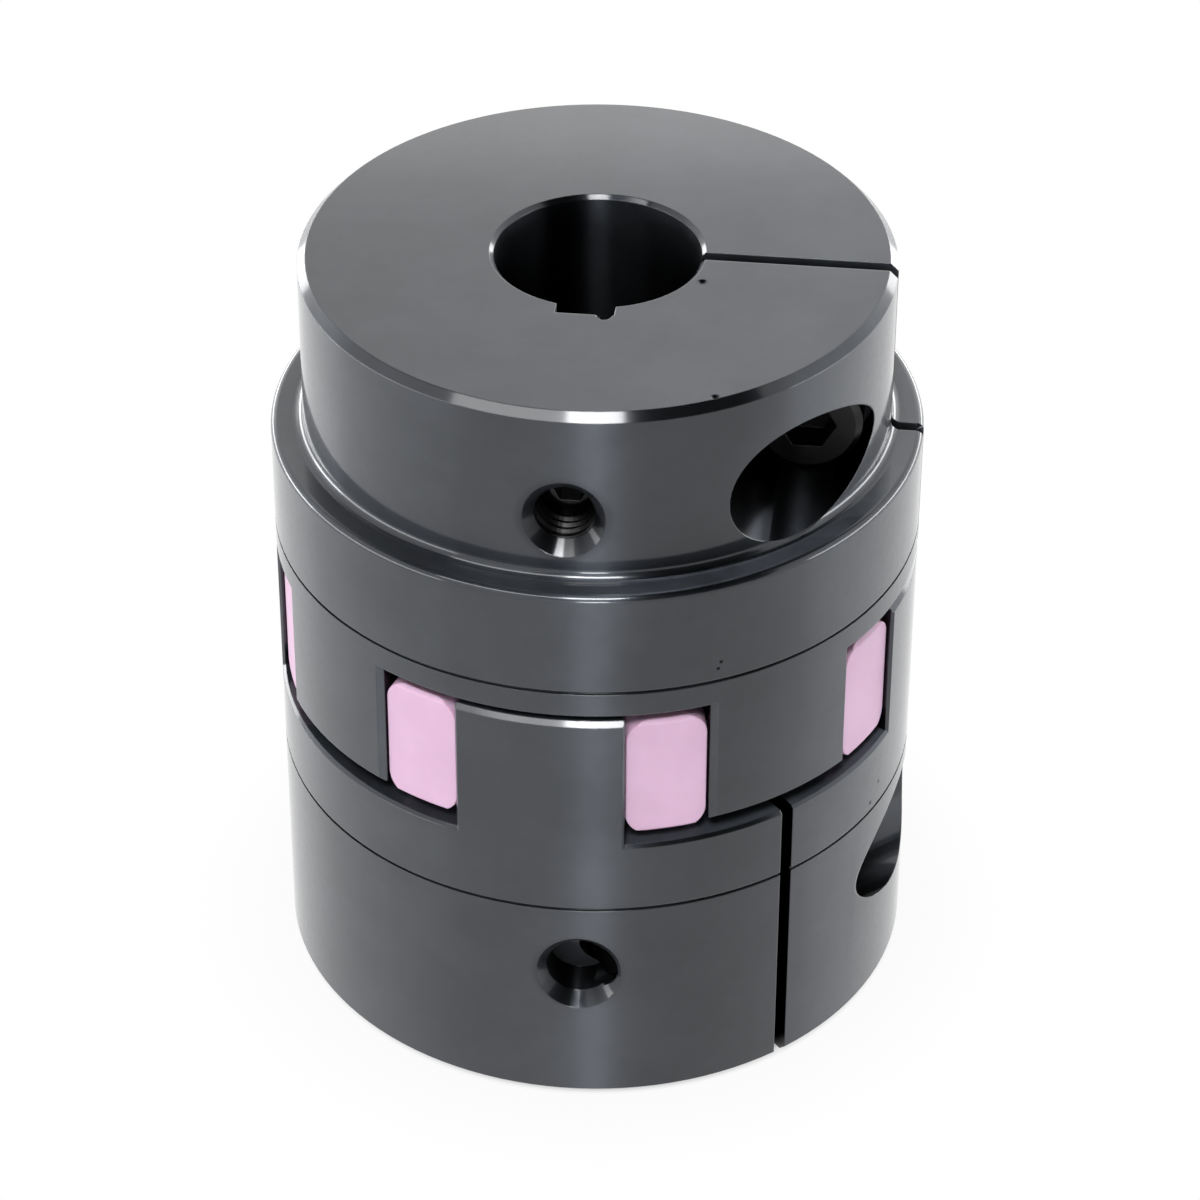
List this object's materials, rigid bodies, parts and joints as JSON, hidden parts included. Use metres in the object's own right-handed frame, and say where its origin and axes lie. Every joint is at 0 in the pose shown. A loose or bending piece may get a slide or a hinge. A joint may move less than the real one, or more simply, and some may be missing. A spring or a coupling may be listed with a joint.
{
  "type": "shaft coupling",
  "caption": "Elastic jaw coupling: two slit clamping hubs with keyways and interlocking jaws grip two shafts, and a soft spider between the jaws carries the torque.",
  "frame": {"origin": "on the shaft axis, in the plane of the lower hub's end face, on which the coupling stands", "axes": "+Z along the shaft axis from the lower hub to the upper hub, +X along the upper hub's slit, so its keyway and set screw are at -Y"},
  "size_m": [0.08, 0.08, 0.0995],
  "materials": {
    "hub_steel": "turned steel with a glossy black oxide coat",
    "spider_elastomer": "satin lilac polyurethane",
    "clamp_screw_steel": "black oxide, oiled",
    "set_screw_steel": "black oxide, oiled"
  },
  "bodies": {
    "root": {"upper_hub": "hub_steel", "lower_hub": "hub_steel", "spider": "spider_elastomer", "upper_clamp_screw": "clamp_screw_steel", "lower_clamp_screw": "clamp_screw_steel", "upper_set_screw": "set_screw_steel", "lower_set_screw": "set_screw_steel"}
  },
  "joints": []
}
